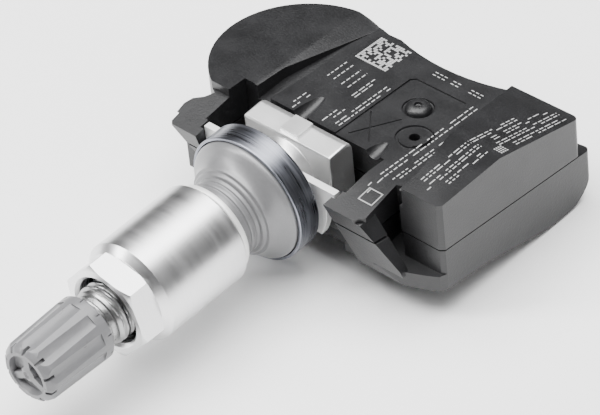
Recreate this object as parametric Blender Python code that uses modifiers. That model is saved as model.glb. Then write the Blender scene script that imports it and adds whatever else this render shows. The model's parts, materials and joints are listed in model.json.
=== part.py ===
"""Clamp-in tyre pressure monitor: a wheel-side sensor housing with its metal valve stem.

Frame: the origin is where the valve axis meets the middle of the stem's cross head.
The valve points along -Y, the housing's deck faces +Z, and its rectangular end lies towards +X.
Lengths are in metres.
"""
import math

import bmesh
import bpy
from mathutils import Matrix, Vector

MM = 0.001

# ---- driving dimensions -------------------------------------------------------------------
TURN_STEPS = 48                  # segments round a turned piece
SMALL_STEPS = 24                 # segments round a small turned piece
RIM_STEPS = 64                   # segments round the widest turned pieces

# Stations along the valve are distances outwards from the origin, so y = -station.
HEAD_HALF_LENGTH = 7.4 * MM      # cross head, half its length along X
HEAD_HALF_DEPTH = 2.25 * MM      # cross head, half its thickness along Y
HEAD_TOP = 5.1 * MM
HEAD_BOTTOM = -4.6 * MM
NECK_RADIUS = 3.3 * MM
PLATE_REAR = 4.75 * MM
PLATE_THICKNESS = 1.0 * MM
COLLAR_REAR = 6.65 * MM
COLLAR_FRONT = 10.35 * MM
COLLAR_RADIUS = 9.25 * MM
GROMMET_EDGE = 10.95 * MM
GROMMET_SHOULDER = 13.65 * MM
GROMMET_NOSE = 16.75 * MM
NOSE_RADIUS = 5.5 * MM
WASHER_REAR = 16.9 * MM          # the land that clamps on the wheel rim
WASHER_FRONT = 17.75 * MM
WASHER_RADIUS = 6.5 * MM
SLEEVE_REAR = 18.05 * MM
SLEEVE_FRONT = 31.85 * MM
SLEEVE_RADIUS = 7.25 * MM
HEX_REAR = 32.9 * MM
HEX_FRONT = 36.57 * MM
HEX_ACROSS_FLATS = 12.0 * MM
HEX_TURN = math.radians(47.6)    # a hexagon corner's angle from +X, seen along the valve
MOUTH_RADIUS = 4.85 * MM         # counterbore in the nut's mouth
STEM_RADIUS = 4.1 * MM           # main thread, outside
STEM_FRONT = 37.9 * MM           # where the main thread ends
TIP_RADIUS = 3.85 * MM           # cap thread, outside
TIP_FRONT = 47.0 * MM            # stem's end face, inside the cap
CAP_REAR = 39.7 * MM
CAP_FRONT = 50.75 * MM
CAP_RADIUS = 4.65 * MM
CAP_TIP_RADIUS = 4.3 * MM
RUNNING_GAP = 0.07 * MM          # radial clearance of threads and slides

CORE_BORE = 2.2 * MM
AIR_BORE = 1.4 * MM
CORE_SEAT = 31.0 * MM            # inner end of the core's bore

# Housing
END_X = 26.4 * MM
FRONT_Y = -2.75 * MM
EAR_FRONT_Y = -7.65 * MM
EAR_INNER_X = 11.0 * MM
EAR_OUTER_X = 17.1 * MM
LEFT_EAR_OUTER_X = 15.9 * MM
EAR_WAIST_X = 16.6 * MM          # the ears narrow towards their roots
EAR_CORNER = 1.2 * MM
LIP_FRONT_Y = -3.7 * MM           # housing's front between the ears
LOBE_CENTRE = Vector((-8.4 * MM, 11.0 * MM))
LOBE_RADIUS = 12.8 * MM
WAIST_CENTRE = Vector((5.0 * MM, 51.0 * MM))
WAIST_RADIUS = 28.7 * MM         # hollow sweep of the rear wall between lobe and block
COVER_REAR_Y = 24.5 * MM
BASE_REAR_Y = 26.6 * MM          # the lower shell stands out behind the upper one
REAR_CORNER = 1.0 * MM
NOTCH_REAR_Y = 0.4 * MM          # notch between the right ear and the rectangular end
BLOCK_LEFT_X = 19.6 * MM
DECK_Z = 3.9 * MM
DECK_SLOPE = math.radians(-4.0)
EAR_SLOPE = math.radians(6.0)    # the ears' tops fall towards the front
BLOCK_Z = 7.2 * MM
BLOCK_SLOPE_START_Y = 9.0 * MM
BLOCK_SLOPE = math.radians(-15.0)
LOBE_Z = 5.2 * MM
LOBE_SLOPE = math.radians(-4.6)
RAMP_START_X = -10.4 * MM        # the lobe's top falls to the deck from here
RAMP_SLOPE = math.radians(-17.0)
FOOT_TOP_Z = -4.4 * MM           # step of the lower shell under the notch
HEEL_CENTRE = Vector((21.4 * MM, -6.0 * MM))
HEEL_RADIUS = 5.2 * MM           # rounded rear underside, in the YZ plane
FLOOR_Y = 4.2 * MM               # the inner floor falls from here with the underside
FLOOR_Z = -6.15 * MM
FLOOR_SLOPE = math.radians(-11.5)
PARTING_Z = -0.3 * MM            # weld line, at the front face
PARTING_SLOPE = math.radians(-6.2)
PARTING_GAP = 0.3 * MM
WALL = 1.6 * MM
CRADLE_HALF_X = 12.0 * MM
CRADLE_REAR_Y = 3.2 * MM
CRADLE_FLOOR_Z = -5.2 * MM
CRADLE_WALL = 1.0 * MM           # between the cradle and the electronics

BOARD_TOP = -0.35 * MM
BOARD_THICKNESS = 0.9 * MM
CELL_CENTRE = Vector((-8.5 * MM, 12.6 * MM))
CELL_RADIUS = 8.0 * MM
CELL_HEIGHT = 3.2 * MM
CELL_BOTTOM = -5.9 * MM
PORT_X = 11.8 * MM               # pressure port in the deck
PORT_Y = 9.1 * MM

BIG = 60.0 * MM                  # larger than the whole housing, for cutting slabs
SIDE_VIEW_TURN = Matrix(((0, 0, 1, 0), (1, 0, 0, 0), (0, 1, 0, 0), (0, 0, 0, 1)))  # (y, z) to 3-D


# ---- scene helpers ------------------------------------------------------------------------
def clear_scene():
    for obj in list(bpy.data.objects):
        bpy.data.objects.remove(obj, do_unlink=True)


def new_collection(name):
    collection = bpy.data.collections.new(name)
    bpy.context.scene.collection.children.link(collection)
    return collection


clear_scene()
PARTS = new_collection("tyre_pressure_monitor")
CUTTERS = new_collection("cutters")


def material(name, colour, roughness, metallic=0.0):
    result = bpy.data.materials.new(name)
    result.use_nodes = True
    shader = result.node_tree.nodes["Principled BSDF"]
    shader.inputs["Base Color"].default_value = (*colour, 1.0)
    shader.inputs["Roughness"].default_value = roughness
    shader.inputs["Metallic"].default_value = metallic
    return result


def add_part(name, mesh, finish):
    obj = bpy.data.objects.new(name, mesh)
    PARTS.objects.link(obj)
    obj.data.materials.append(finish)
    mesh.shade_smooth()
    mesh.set_sharp_from_angle(angle=math.radians(32))
    return obj


def add_cutter(name, mesh):
    obj = bpy.data.objects.new(name, mesh)
    CUTTERS.objects.link(obj)
    obj.hide_render = True
    obj.display_type = "WIRE"
    return obj


def boolean(obj, cutter, operation="DIFFERENCE"):
    modifier = obj.modifiers.new(cutter.name, "BOOLEAN")
    modifier.object = cutter
    modifier.operation = operation
    modifier.solver = "EXACT"


def bevel(obj, width, segments=2, angle=40):
    modifier = obj.modifiers.new("edge_rounding", "BEVEL")
    modifier.width = width
    modifier.segments = segments
    modifier.limit_method = "ANGLE"
    modifier.angle_limit = math.radians(angle)
    modifier.use_clamp_overlap = True


# ---- mesh builders ------------------------------------------------------------------------
def box_mesh(name, low, high):
    low, high = Vector(low), Vector(high)
    mesh = bpy.data.meshes.new(name)
    builder = bmesh.new()
    bmesh.ops.create_cube(builder, size=1.0)
    scale = Matrix.Diagonal((*(high - low), 1.0))
    builder.transform(Matrix.Translation((low + high) / 2) @ scale)
    builder.to_mesh(mesh)
    builder.free()
    return mesh


def cylinder_mesh(name, radius, start, end, steps=SMALL_STEPS):
    """A capped cylinder between two points."""
    start, end = Vector(start), Vector(end)
    axis = end - start
    mesh = bpy.data.meshes.new(name)
    builder = bmesh.new()
    bmesh.ops.create_cone(
        builder, cap_ends=True, segments=steps, radius1=radius, radius2=radius, depth=axis.length)
    turn = Vector((0, 0, 1)).rotation_difference(axis).to_matrix().to_4x4()
    builder.transform(Matrix.Translation((start + end) / 2) @ turn)
    builder.to_mesh(mesh)
    builder.free()
    return mesh


def prism_mesh(name, outline, low_z, high_z):
    """A flat outline in the XY plane, made solid between two heights."""
    curve = bpy.data.curves.new(name + "_outline", "CURVE")
    curve.dimensions = "2D"
    curve.fill_mode = "BOTH"
    curve.extrude = (high_z - low_z) / 2
    spline = curve.splines.new("POLY")
    spline.points.add(len(outline) - 1)
    for point, corner in zip(spline.points, outline):
        point.co = (corner[0], corner[1], 0.0, 1.0)
    spline.use_cyclic_u = True
    holder = bpy.data.objects.new(name + "_outline", curve)
    CUTTERS.objects.link(holder)
    bpy.context.view_layer.update()
    evaluated = holder.evaluated_get(bpy.context.evaluated_depsgraph_get())
    mesh = bpy.data.meshes.new_from_object(evaluated)
    bpy.data.objects.remove(holder, do_unlink=True)
    mesh.name = name
    builder = bmesh.new()
    builder.from_mesh(mesh)
    bmesh.ops.remove_doubles(builder, verts=builder.verts, dist=0.001 * MM)
    bmesh.ops.dissolve_limit(
        builder, angle_limit=math.radians(0.5), verts=builder.verts, edges=builder.edges)
    bmesh.ops.recalc_face_normals(builder, faces=builder.faces)
    builder.transform(Matrix.Translation((0, 0, (high_z + low_z) / 2)))
    builder.to_mesh(mesh)
    builder.free()
    mesh.materials.clear()
    return mesh


def turned_mesh(name, profile, steps=TURN_STEPS):
    """Turn a closed (radius, station) profile about the valve axis, -Y outwards."""
    mesh = bpy.data.meshes.new(name)
    builder = bmesh.new()
    corners = [builder.verts.new((radius, -station, 0.0)) for radius, station in profile]
    on_axis = [radius == 0.0 for radius, _ in profile]
    for index, corner in enumerate(corners):
        following = (index + 1) % len(corners)
        if on_axis[index] and on_axis[following]:
            continue
        builder.edges.new((corner, corners[following]))
    geometry = list(builder.verts) + list(builder.edges)
    bmesh.ops.spin(
        builder, geom=geometry, cent=(0, 0, 0), axis=(0, 1, 0), angle=math.tau,
        steps=steps, use_merge=True)
    bmesh.ops.remove_doubles(builder, verts=builder.verts, dist=0.001 * MM)
    bmesh.ops.recalc_face_normals(builder, faces=builder.faces)
    builder.to_mesh(mesh)
    builder.free()
    return mesh


def wire_mesh(name, points, radius, resolution=2):
    """A round wire along a list of points, with closed ends."""
    curve = bpy.data.curves.new(name + "_path", "CURVE")
    curve.dimensions = "3D"
    curve.bevel_depth = radius
    curve.bevel_resolution = resolution
    curve.use_fill_caps = True
    spline = curve.splines.new("POLY")
    spline.points.add(len(points) - 1)
    for point, place in zip(spline.points, points):
        point.co = (*place, 1.0)
    holder = bpy.data.objects.new(name + "_path", curve)
    CUTTERS.objects.link(holder)
    bpy.context.view_layer.update()
    evaluated = holder.evaluated_get(bpy.context.evaluated_depsgraph_get())
    mesh = bpy.data.meshes.new_from_object(evaluated)
    bpy.data.objects.remove(holder, do_unlink=True)
    mesh.name = name
    builder = bmesh.new()
    builder.from_mesh(mesh)
    bmesh.ops.remove_doubles(builder, verts=builder.verts, dist=0.001 * MM)
    bmesh.ops.recalc_face_normals(builder, faces=builder.faces)
    builder.to_mesh(mesh)
    builder.free()
    mesh.materials.clear()
    return mesh


def slab_mesh(name, z_at, y_at, slope, upwards):
    """A big slab above (or below) a plane through (y_at, z_at), tilted about X by slope."""
    mesh = box_mesh(name, (-BIG, -BIG, 0.0), (BIG, BIG, BIG))
    turn = Matrix.Rotation(slope, 4, "X")
    if not upwards:
        turn = turn @ Matrix.Rotation(math.pi, 4, "X")
    mesh.transform(Matrix.Translation((0, y_at, z_at)) @ turn)
    return mesh


def arc(centre, radius, start, end, count):
    """Points on a circle from one angle to another, in degrees."""
    angles = [math.radians(start + (end - start) * i / count) for i in range(count + 1)]
    return [(centre[0] + radius * math.cos(a), centre[1] + radius * math.sin(a)) for a in angles]


def helix(turns, steps, radius, start, end):
    """Points along a coil about the Y axis, as (x, y, z) from start to end."""
    points = []
    for step in range(turns * steps + 1):
        angle = math.tau * step / steps
        along = start + (end - start) * step / (turns * steps)
        points.append((radius * math.cos(angle), along, radius * math.sin(angle)))
    return points


def inset(outline, distance):
    """Move each side of a counter-clockwise outline inwards and meet the neighbours again."""
    result = []
    count = len(outline)
    for index in range(count):
        before = Vector(outline[index - 1])
        here = Vector(outline[index])
        after = Vector(outline[(index + 1) % count])
        side_in = (here - before).normalized()
        side_out = (after - here).normalized()
        normal_in = Vector((-side_in.y, side_in.x))
        normal_out = Vector((-side_out.y, side_out.x))
        middle = (normal_in + normal_out).normalized()
        result.append(tuple(here + middle * distance / middle.dot(normal_in)))
    return result


# ---- materials ----------------------------------------------------------------------------
BLACK_NYLON = material("black_nylon", (0.035, 0.035, 0.037), 0.5)
SATIN_ALUMINIUM = material("satin_aluminium", (0.72, 0.72, 0.73), 0.32, 1.0)
NUT_ALUMINIUM = material("nut_aluminium", (0.78, 0.78, 0.79), 0.26, 1.0)
BRUSHED_STEEL = material("brushed_steel", (0.5, 0.51, 0.56), 0.35, 1.0)
BRIGHT_STEEL = material("bright_steel", (0.8, 0.8, 0.8), 0.3, 1.0)
GREY_RUBBER = material("grey_rubber", (0.36, 0.36, 0.37), 0.6)
GREY_PLASTIC = material("grey_plastic", (0.3, 0.3, 0.31), 0.45)
BLACK_RUBBER = material("black_rubber", (0.02, 0.02, 0.02), 0.7)
BRASS = material("brass", (0.6, 0.45, 0.18), 0.3, 1.0)
SPRING_STEEL = material("spring_steel", (0.55, 0.55, 0.55), 0.3, 1.0)
BOARD_GREEN = material("board_green", (0.02, 0.12, 0.05), 0.5)
CELL_STEEL = material("cell_steel", (0.7, 0.7, 0.7), 0.3, 1.0)
CHIP_BLACK = material("chip_black", (0.03, 0.03, 0.03), 0.5)
FERRITE = material("ferrite", (0.06, 0.06, 0.06), 0.6)
COPPER = material("copper", (0.6, 0.26, 0.12), 0.35, 1.0)
CERAMIC = material("ceramic", (0.42, 0.3, 0.18), 0.5)


# ---- housing ------------------------------------------------------------------------------
def housing_outline(rear_y, waist_start):
    """A shell seen from above, counter-clockwise from the front of the rectangular end."""
    corner = arc((END_X - REAR_CORNER, rear_y - REAR_CORNER), REAR_CORNER, 0, 84, 4)
    waist = arc(WAIST_CENTRE, WAIST_RADIUS, waist_start, -106, 9)
    lobe = arc(LOBE_CENTRE, LOBE_RADIUS, 74, 243, 29)
    left = [(-14.9 * MM, -1.7 * MM), (-16.0 * MM, -2.7 * MM), (-16.35 * MM, -4.0 * MM)]
    front = [
        (-LEFT_EAR_OUTER_X, EAR_FRONT_Y + 0.8 * MM),
        (-LEFT_EAR_OUTER_X + 0.7 * MM, EAR_FRONT_Y),
        (-EAR_INNER_X, EAR_FRONT_Y), (-EAR_INNER_X, LIP_FRONT_Y),
        (EAR_INNER_X, LIP_FRONT_Y), (EAR_INNER_X, EAR_FRONT_Y),
        (EAR_OUTER_X - EAR_CORNER, EAR_FRONT_Y), (EAR_OUTER_X, EAR_FRONT_Y + EAR_CORNER)]
    rib_left, rib_right, rib_front = 17.5 * MM, 18.3 * MM, NOTCH_REAR_Y - 0.8 * MM
    notch = [
        (EAR_WAIST_X, NOTCH_REAR_Y - 0.3 * MM), (rib_left - 0.2 * MM, NOTCH_REAR_Y),
        (rib_left, rib_front), (rib_right, rib_front), (rib_right + 0.2 * MM, NOTCH_REAR_Y),
        (BLOCK_LEFT_X, NOTCH_REAR_Y + 0.3 * MM), (BLOCK_LEFT_X, FRONT_Y)]
    start = [(END_X - 0.6 * MM, FRONT_Y), (END_X, FRONT_Y + 0.6 * MM)]
    return start + corner + waist + lobe + left + front + notch


def foot_outline():
    """The lower shell's step, which closes the notch from below."""
    corners = [
        (14.0, 1.0), (14.0, -5.6), (18.0, -5.5), (21.6, -5.2), (24.4, -4.0), (25.9, -3.2),
        (26.25, -2.2), (26.25, 1.0)]
    return [(x * MM, y * MM) for x, y in corners]


def underside_outline():
    """The lower shell's side view, as (y, z): flat under the valve, then bent down to a round heel."""
    flats = [(-12.0, 6.0), (-12.0, -6.1), (-1.6, -7.1), (6.0, -8.2), (12.2, -9.8), (17.2, -11.0)]
    heel = arc(HEEL_CENTRE, HEEL_RADIUS, -92, 0, 9)
    return [(y * MM, z * MM) for y, z in flats] + heel + [(HEEL_CENTRE.x + HEEL_RADIUS, 6.0 * MM)]


def side_cutter_mesh(name, corners):
    """A front-view (x, z) outline in millimetres, solid through the ears' depth along Y."""
    flat = prism_mesh(name, [(x * MM, z * MM) for x, z in corners], 4.6 * MM, 12.0 * MM)
    flat.transform(Matrix.Rotation(math.pi / 2, 4, "X"))
    return flat


def cavity_outline():
    """The room inside the housing, behind the cradle."""
    front_y = CRADLE_REAR_Y + CRADLE_WALL
    waist = arc(WAIST_CENTRE, WAIST_RADIUS + WALL, -70, -104, 6)
    lobe = arc(LOBE_CENTRE, LOBE_RADIUS - WALL, 70, 214, 20)
    step_x = 21.2 * MM
    front = [(-17.6 * MM, front_y), (step_x, front_y), (step_x, FRONT_Y + WALL)]
    right = [(END_X - WALL, FRONT_Y + WALL), (END_X - WALL, COVER_REAR_Y - WALL)]
    return right + waist + lobe + front


def lobe_top_outline():
    """The raised battery end, left of the tapering groove."""
    rim = arc(LOBE_CENTRE, LOBE_RADIUS + 1.5 * MM, 84, 246, 28)
    edge = [(-9.9 * MM, -0.4 * MM), (-9.8 * MM, 8.3 * MM), (-6.95 * MM, 21.9 * MM)]
    return rim + edge


def block_top_outline():
    corners = [(20.2, -4.0), (28.0, -4.0), (28.0, 28.0), (14.9, 28.0), (15.4, 24.0), (19.9, 0.6)]
    return [(x * MM, y * MM) for x, y in corners]


def groove_outline():
    corners = [(-9.9, -2.0), (-7.8, -2.0), (-7.7, 3.0), (-6.75, 21.7), (-6.95, 21.9), (-9.8, 8.3)]
    return [(x * MM, y * MM) for x, y in corners]


CAVITY = add_cutter("cavity_cutter", prism_mesh("cavity", cavity_outline(), -4.9 * MM, 1.9 * MM))
BLOCK_CAVITY = add_cutter("block_cavity_cutter", box_mesh(
    "block_cavity",
    (21.3 * MM, FRONT_Y + WALL + 0.2 * MM, 1.2 * MM),
    (END_X - WALL - 0.1 * MM, 17.0 * MM, 3.6 * MM)))
CRADLE = add_cutter("cradle_cutter", box_mesh(
    "cradle",
    (-CRADLE_HALF_X, -PLATE_REAR + 0.2 * MM, CRADLE_FLOOR_Z),
    (CRADLE_HALF_X, CRADLE_REAR_Y, BIG)))
MOUTH_HALF_X = EAR_INNER_X + 0.01 * MM
CRADLE_MOUTH = add_cutter("cradle_mouth_cutter", box_mesh(
    "cradle_mouth", (-MOUTH_HALF_X, -BIG, CRADLE_FLOOR_Z), (MOUTH_HALF_X, -3.0 * MM, BIG)))
PLATE_SLOTS = add_cutter("plate_slot_cutter", box_mesh(
    "plate_slots",
    (-11.6 * MM, -PLATE_REAR - PLATE_THICKNESS - 0.3 * MM, CRADLE_FLOOR_Z),
    (11.6 * MM, -PLATE_REAR + 0.3 * MM, BIG)))
EAR_LEAN = add_cutter("ear_lean_cutter", box_mesh("ear_lean", (-BIG, -BIG, -BIG), (BIG, 0.0, BIG)))
EAR_LEAN.data.transform(
    Matrix.Translation((0, EAR_FRONT_Y, 3.0 * MM)) @ Matrix.Rotation(math.radians(14), 4, "X"))
LEFT_EAR_CUT = add_cutter("left_ear_cutter", side_cutter_mesh(
    "left_ear_cut", [(-15.7, 3.3), (-9.2, -5.8), (-9.2, -14.0), (-25.0, -14.0), (-25.0, 3.3)]))
RIGHT_EAR_CUT = add_cutter("right_ear_cutter", side_cutter_mesh(
    "right_ear_cut", [(10.7, 3.9), (14.1, -6.98), (14.1, -14.0), (8.0, -14.0), (8.0, 3.9)]))
GUSSET = add_cutter("gusset", side_cutter_mesh(
    "gusset", [(16.2, 2.6), (16.2, -5.0), (21.9, -5.0), (21.8, -4.0), (17.0, 2.6)]))


def make_cover():
    """Upper shell: deck, rectangular block, battery lobe, ears and the cradle for the stem."""
    outline = housing_outline(COVER_REAR_Y, -69)
    cover = add_part("housing_cover", prism_mesh("housing_cover", outline, -9 * MM, 12 * MM), BLACK_NYLON)
    boolean(cover, GUSSET, "UNION")
    deck = add_cutter("deck_cutter", slab_mesh("deck_cut", DECK_Z, 0.0, DECK_SLOPE, True))
    for name, outline in (("block_keep", block_top_outline()), ("lobe_keep", lobe_top_outline())):
        keep = add_cutter(name, prism_mesh(name, outline, -12 * MM, 40 * MM))
        boolean(deck, keep)
    block = add_cutter("block_top_cutter", slab_mesh("block_top", BLOCK_Z, 0.0, 0.0, True))
    block_rear = add_cutter(
        "block_rear_cutter", slab_mesh("block_rear", BLOCK_Z, BLOCK_SLOPE_START_Y, BLOCK_SLOPE, True))
    lobe_keep = add_cutter("lobe_zone", box_mesh("lobe_zone", (0.0, -BIG, -BIG), (BIG, BIG, BIG)))
    lobe = add_cutter("lobe_top_cutter", slab_mesh("lobe_top", LOBE_Z, 0.0, LOBE_SLOPE, True))
    boolean(lobe, lobe_keep)
    ramp = add_cutter("lobe_ramp_cutter", slab_mesh("lobe_ramp", LOBE_Z, 0.0, LOBE_SLOPE, True))
    fall = Matrix.Identity(4)
    fall[2][0] = math.tan(RAMP_SLOPE)
    fall[2][3] = -RAMP_START_X * math.tan(RAMP_SLOPE)
    ramp.data.transform(fall)
    beyond_ramp = add_cutter("ramp_zone", box_mesh("ramp_zone", (-6.85 * MM, -BIG, -BIG), (BIG, BIG, BIG)))
    boolean(ramp, beyond_ramp)
    ears = add_cutter("ear_top_cutter", slab_mesh("ear_top", DECK_Z, 0.0, EAR_SLOPE, True))
    ear_zone = add_cutter("ear_zone", box_mesh(
        "ear_zone", (-BIG, -BIG, 0.0), (BLOCK_LEFT_X - 0.1 * MM, 0.05 * MM, BIG)))
    boolean(ears, ear_zone, "INTERSECT")
    parting = add_cutter(
        "parting_above_cutter",
        slab_mesh("parting_above", PARTING_Z + PARTING_GAP / 2, FRONT_Y, PARTING_SLOPE, False))
    for cutter in (deck, block, block_rear, lobe, ramp, ears, parting, EAR_LEAN, LEFT_EAR_CUT, RIGHT_EAR_CUT):
        boolean(cover, cutter)
    bevel(cover, 0.45 * MM)
    groove = add_cutter("groove_cutter", prism_mesh("groove", groove_outline(), 2.6 * MM, 12 * MM))
    port = add_cutter("port_cutter", cylinder_mesh(
        "port", 0.7 * MM, (PORT_X, PORT_Y, 0.0), (PORT_X, PORT_Y, 9 * MM)))
    for cutter in (groove, CAVITY, BLOCK_CAVITY, CRADLE, CRADLE_MOUTH, PLATE_SLOTS, port):
        boolean(cover, cutter)
    return cover


def make_base():
    """Lower shell, welded to the cover along the parting line."""
    outline = inset(housing_outline(BASE_REAR_Y, -62), 0.12 * MM)
    base = add_part("base_cover", prism_mesh("base_cover", outline, -14 * MM, 3 * MM), BLACK_NYLON)
    foot = add_cutter("foot", prism_mesh("foot", foot_outline(), -13 * MM, FOOT_TOP_Z))
    boolean(base, foot, "UNION")
    boolean(base, GUSSET, "UNION")
    above = add_cutter(
        "parting_below_cutter",
        slab_mesh("parting_below", PARTING_Z - PARTING_GAP / 2, FRONT_Y, PARTING_SLOPE, True))
    for cutter in (above, EAR_LEAN, LEFT_EAR_CUT, RIGHT_EAR_CUT):
        boolean(base, cutter)
    side_view = add_cutter("underside", prism_mesh("underside", underside_outline(), -BIG, BIG))
    side_view.data.transform(SIDE_VIEW_TURN)
    boolean(base, side_view, "INTERSECT")
    bevel(base, 0.6 * MM)
    room = add_cutter(
        "base_cavity_cutter",
        prism_mesh("base_cavity", inset(cavity_outline(), 0.1 * MM), -12 * MM, 4 * MM))
    below_floor = add_cutter(
        "floor_slope_cutter", slab_mesh("floor_slope", FLOOR_Z, FLOOR_Y, FLOOR_SLOPE, False))
    boolean(room, below_floor)
    for cutter in (room, CRADLE, CRADLE_MOUTH, PLATE_SLOTS):
        boolean(base, cutter)
    return base


def make_locking_plate():
    """Fork-shaped spring-steel plate that holds the cross head in its cradle."""
    tab, top, tab_low = 11.2 * MM, 3.45 * MM, 1.4 * MM
    slot, slot_low = 3.75 * MM, -0.5 * MM
    slot_round = arc((0, slot_low), slot, 360, 180, 16)
    lower_left = arc((0, 0), 9.6 * MM, -186, -150, 8)
    lower_right = arc((0, 0), 9.6 * MM, -30, 6, 8)
    outline = [(tab, top), (slot, top)] + slot_round + [(-slot, top), (-tab, top), (-tab, tab_low)]
    outline += lower_left + lower_right + [(tab, tab_low)]
    mesh = prism_mesh("locking_plate", outline, 0.0, PLATE_THICKNESS)
    mesh.transform(Matrix.Translation((0, -PLATE_REAR, 0)) @ Matrix.Rotation(math.pi / 2, 4, "X"))
    return add_part("locking_plate", mesh, BRIGHT_STEEL)


# ---- electronics --------------------------------------------------------------------------
def make_board():
    outline = inset(cavity_outline(), 0.5 * MM)
    board = prism_mesh("circuit_board", outline, BOARD_TOP - BOARD_THICKNESS, BOARD_TOP)
    return add_part("circuit_board", board, BOARD_GREEN)


def on_board(name, centre, size, finish, lift=0.1):
    """A flat-bottomed component standing on the board; centre and size are in millimetres."""
    x, y = centre
    width, depth, height = size
    bottom = BOARD_TOP + lift * MM
    low = ((x - width / 2) * MM, (y - depth / 2) * MM, bottom)
    high = ((x + width / 2) * MM, (y + depth / 2) * MM, bottom + height * MM)
    part = add_part(name, box_mesh(name, low, high), finish)
    bevel(part, 0.12 * MM, segments=1)
    return part


def make_components():
    on_board("pressure_sensor", (PORT_X / MM, PORT_Y / MM), (5.0, 5.0, 1.4), CHIP_BLACK)
    vent = add_cutter("sensor_vent_cutter", cylinder_mesh(
        "sensor_vent", 0.5 * MM, (PORT_X, PORT_Y, 0.6 * MM), (PORT_X, PORT_Y, 3 * MM)))
    boolean(bpy.data.objects["pressure_sensor"], vent)
    on_board("crystal", (6.4, 8.6), (3.2, 2.5, 0.9), CELL_STEEL)
    on_board("capacitor_front", (2.6, 8.4), (1.6, 0.8, 0.8), CERAMIC)
    on_board("capacitor_rear", (2.6, 11.0), (1.6, 0.8, 0.8), CERAMIC)
    on_board("radio_chip", (8.6, 14.0), (4.0, 4.0, 0.9), CHIP_BLACK)
    coil_z = BOARD_TOP + 1.4 * MM
    coil_x = 23.0 * MM
    rod = cylinder_mesh("coil_core", 0.62 * MM, (coil_x, 2.0 * MM, coil_z), (coil_x, 11.4 * MM, coil_z), 16)
    add_part("coil_core", rod, FERRITE)
    winding = helix(9, 12, 0.95 * MM, 3.8 * MM, 9.38 * MM)
    points = [(coil_x + across, along, coil_z + up) for across, along, up in winding]
    add_part("coil_winding", wire_mesh("coil_winding", points, 0.17 * MM, 1), COPPER)
    height = BOARD_TOP + 1.3 * MM
    foot = BOARD_TOP + 0.35 * MM
    path = [
        (18.6, 6.2, foot), (18.6, 6.2, height), (18.6, 18.6, height), (14.2, 18.0, height),
        (14.2, 18.0, foot)]
    points = [(x * MM, y * MM, z) for x, y, z in path]
    add_part("rf_antenna", wire_mesh("rf_antenna", points, 0.3 * MM), COPPER)


def make_cell():
    """Coin cell with a welded tab on each face."""
    x, y = CELL_CENTRE
    top = CELL_BOTTOM + CELL_HEIGHT
    can = cylinder_mesh("battery_cell", CELL_RADIUS, (x, y, CELL_BOTTOM), (x, y, top), 48)
    bevel(add_part("battery_cell", can, CELL_STEEL), 0.4 * MM)
    left, right, front, rear = x - 3.0 * MM, x + 3.0 * MM, y - 5.0 * MM, y + 2.0 * MM
    strip = [(left, front), (right, front), (right, rear), (left, rear)]
    plus = prism_mesh("battery_tab_plus", strip, top + 0.2 * MM, top + 0.45 * MM)
    add_part("battery_tab_plus", plus, BRIGHT_STEEL)
    minus = prism_mesh("battery_tab_minus", strip, CELL_BOTTOM - 0.18 * MM, CELL_BOTTOM - 0.08 * MM)
    add_part("battery_tab_minus", minus, BRIGHT_STEEL)


def make_port_gasket():
    """Soft ring that seals the sensor to the port in the deck."""
    ring_low = BOARD_TOP + 1.6 * MM
    profile = [(0.8 * MM, 0.0), (1.5 * MM, 0.0), (1.5 * MM, -0.45 * MM), (0.8 * MM, -0.45 * MM)]
    mesh = turned_mesh("port_gasket", profile, SMALL_STEPS)
    upright = Matrix.Rotation(math.pi / 2, 4, "X")
    mesh.transform(Matrix.Translation((PORT_X, PORT_Y, ring_low)) @ upright)
    return add_part("port_gasket", mesh, BLACK_RUBBER)


# ---- valve --------------------------------------------------------------------------------
def head_section():
    """The cross head's rounded section, as (y, z) corners."""
    half, corner = HEAD_HALF_DEPTH, 1.5 * MM
    front = [(-half, HEAD_BOTTOM + 0.8 * MM), (-half + 0.8 * MM, HEAD_BOTTOM)]
    back_low = arc((half - 2.0 * MM, HEAD_BOTTOM + 2.0 * MM), 2.0 * MM, -90, 0, 5)
    back_high = arc((half - corner, HEAD_TOP - corner), corner, 0, 90, 5)
    front_high = [(-half + 0.15 * MM, HEAD_TOP - 0.1 * MM), (-half, HEAD_TOP - 0.35 * MM)]
    return front + back_low + back_high + front_high


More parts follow.
